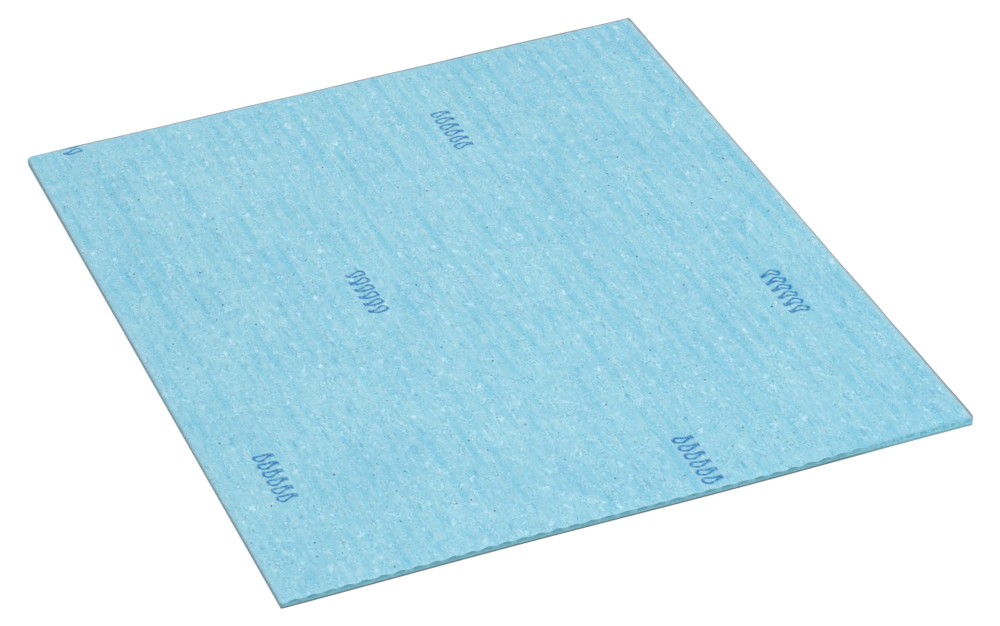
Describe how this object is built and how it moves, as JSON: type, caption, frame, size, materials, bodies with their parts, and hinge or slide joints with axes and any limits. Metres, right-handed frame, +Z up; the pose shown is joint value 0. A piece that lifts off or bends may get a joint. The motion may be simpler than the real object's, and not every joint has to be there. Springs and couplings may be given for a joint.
{
  "type": "sponge cloth",
  "caption": "Flat rectangular cellulose sponge cloth with fine parallel ribs on its upper face and a flat underside, for wiping and drying.",
  "frame": {"origin": "centre of the flat underside", "axes": "+X across the ribs, +Y along the ribs and the longer side, +Z up through the sheet, out of the ribbed face"},
  "size_m": [0.205, 0.26, 0.0025],
  "materials": {
    "cellulose_sponge": "matt light blue cellulose sponge with white cotton flecks and fine pores"
  },
  "bodies": {
    "root": {"sponge_cloth": "cellulose_sponge"}
  },
  "joints": []
}
